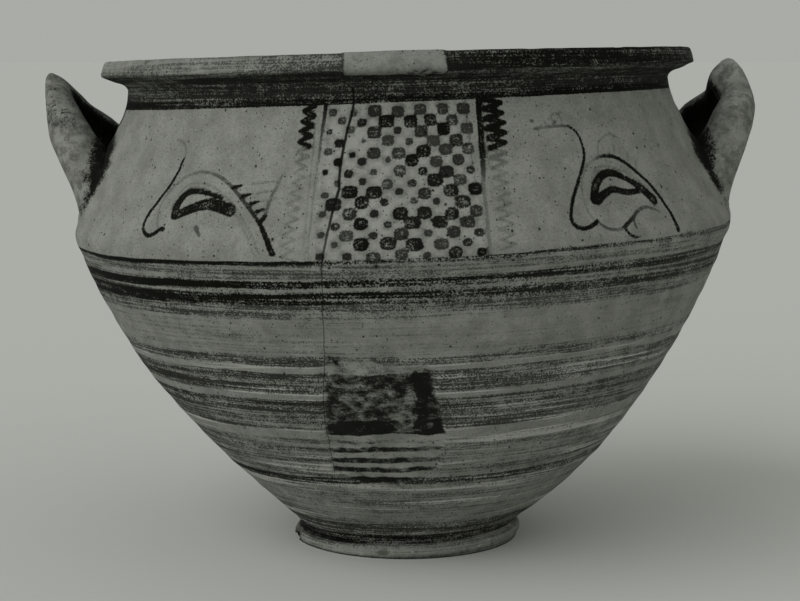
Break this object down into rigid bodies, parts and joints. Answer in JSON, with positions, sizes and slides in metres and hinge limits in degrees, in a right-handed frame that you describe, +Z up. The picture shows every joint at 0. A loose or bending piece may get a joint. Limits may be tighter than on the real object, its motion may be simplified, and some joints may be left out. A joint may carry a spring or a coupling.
{
  "type": "two-handled jar",
  "caption": "Wide-mouthed clay mixing jar with a flat everted rim, upright loop handles on the shoulder and a low ring foot, hollow and painted in bands and panels.",
  "frame": {"origin": "on the table plane, under the middle of the jar's box", "axes": "+Z up from the foot, +X from the left handle to the right handle, painted front faces -Y"},
  "size_m": [0.3846, 0.3528, 0.2683],
  "materials": {
    "clay": "matte, slipped and painted in dark bands"
  },
  "bodies": {
    "root": {"jar": "clay"}
  },
  "joints": []
}
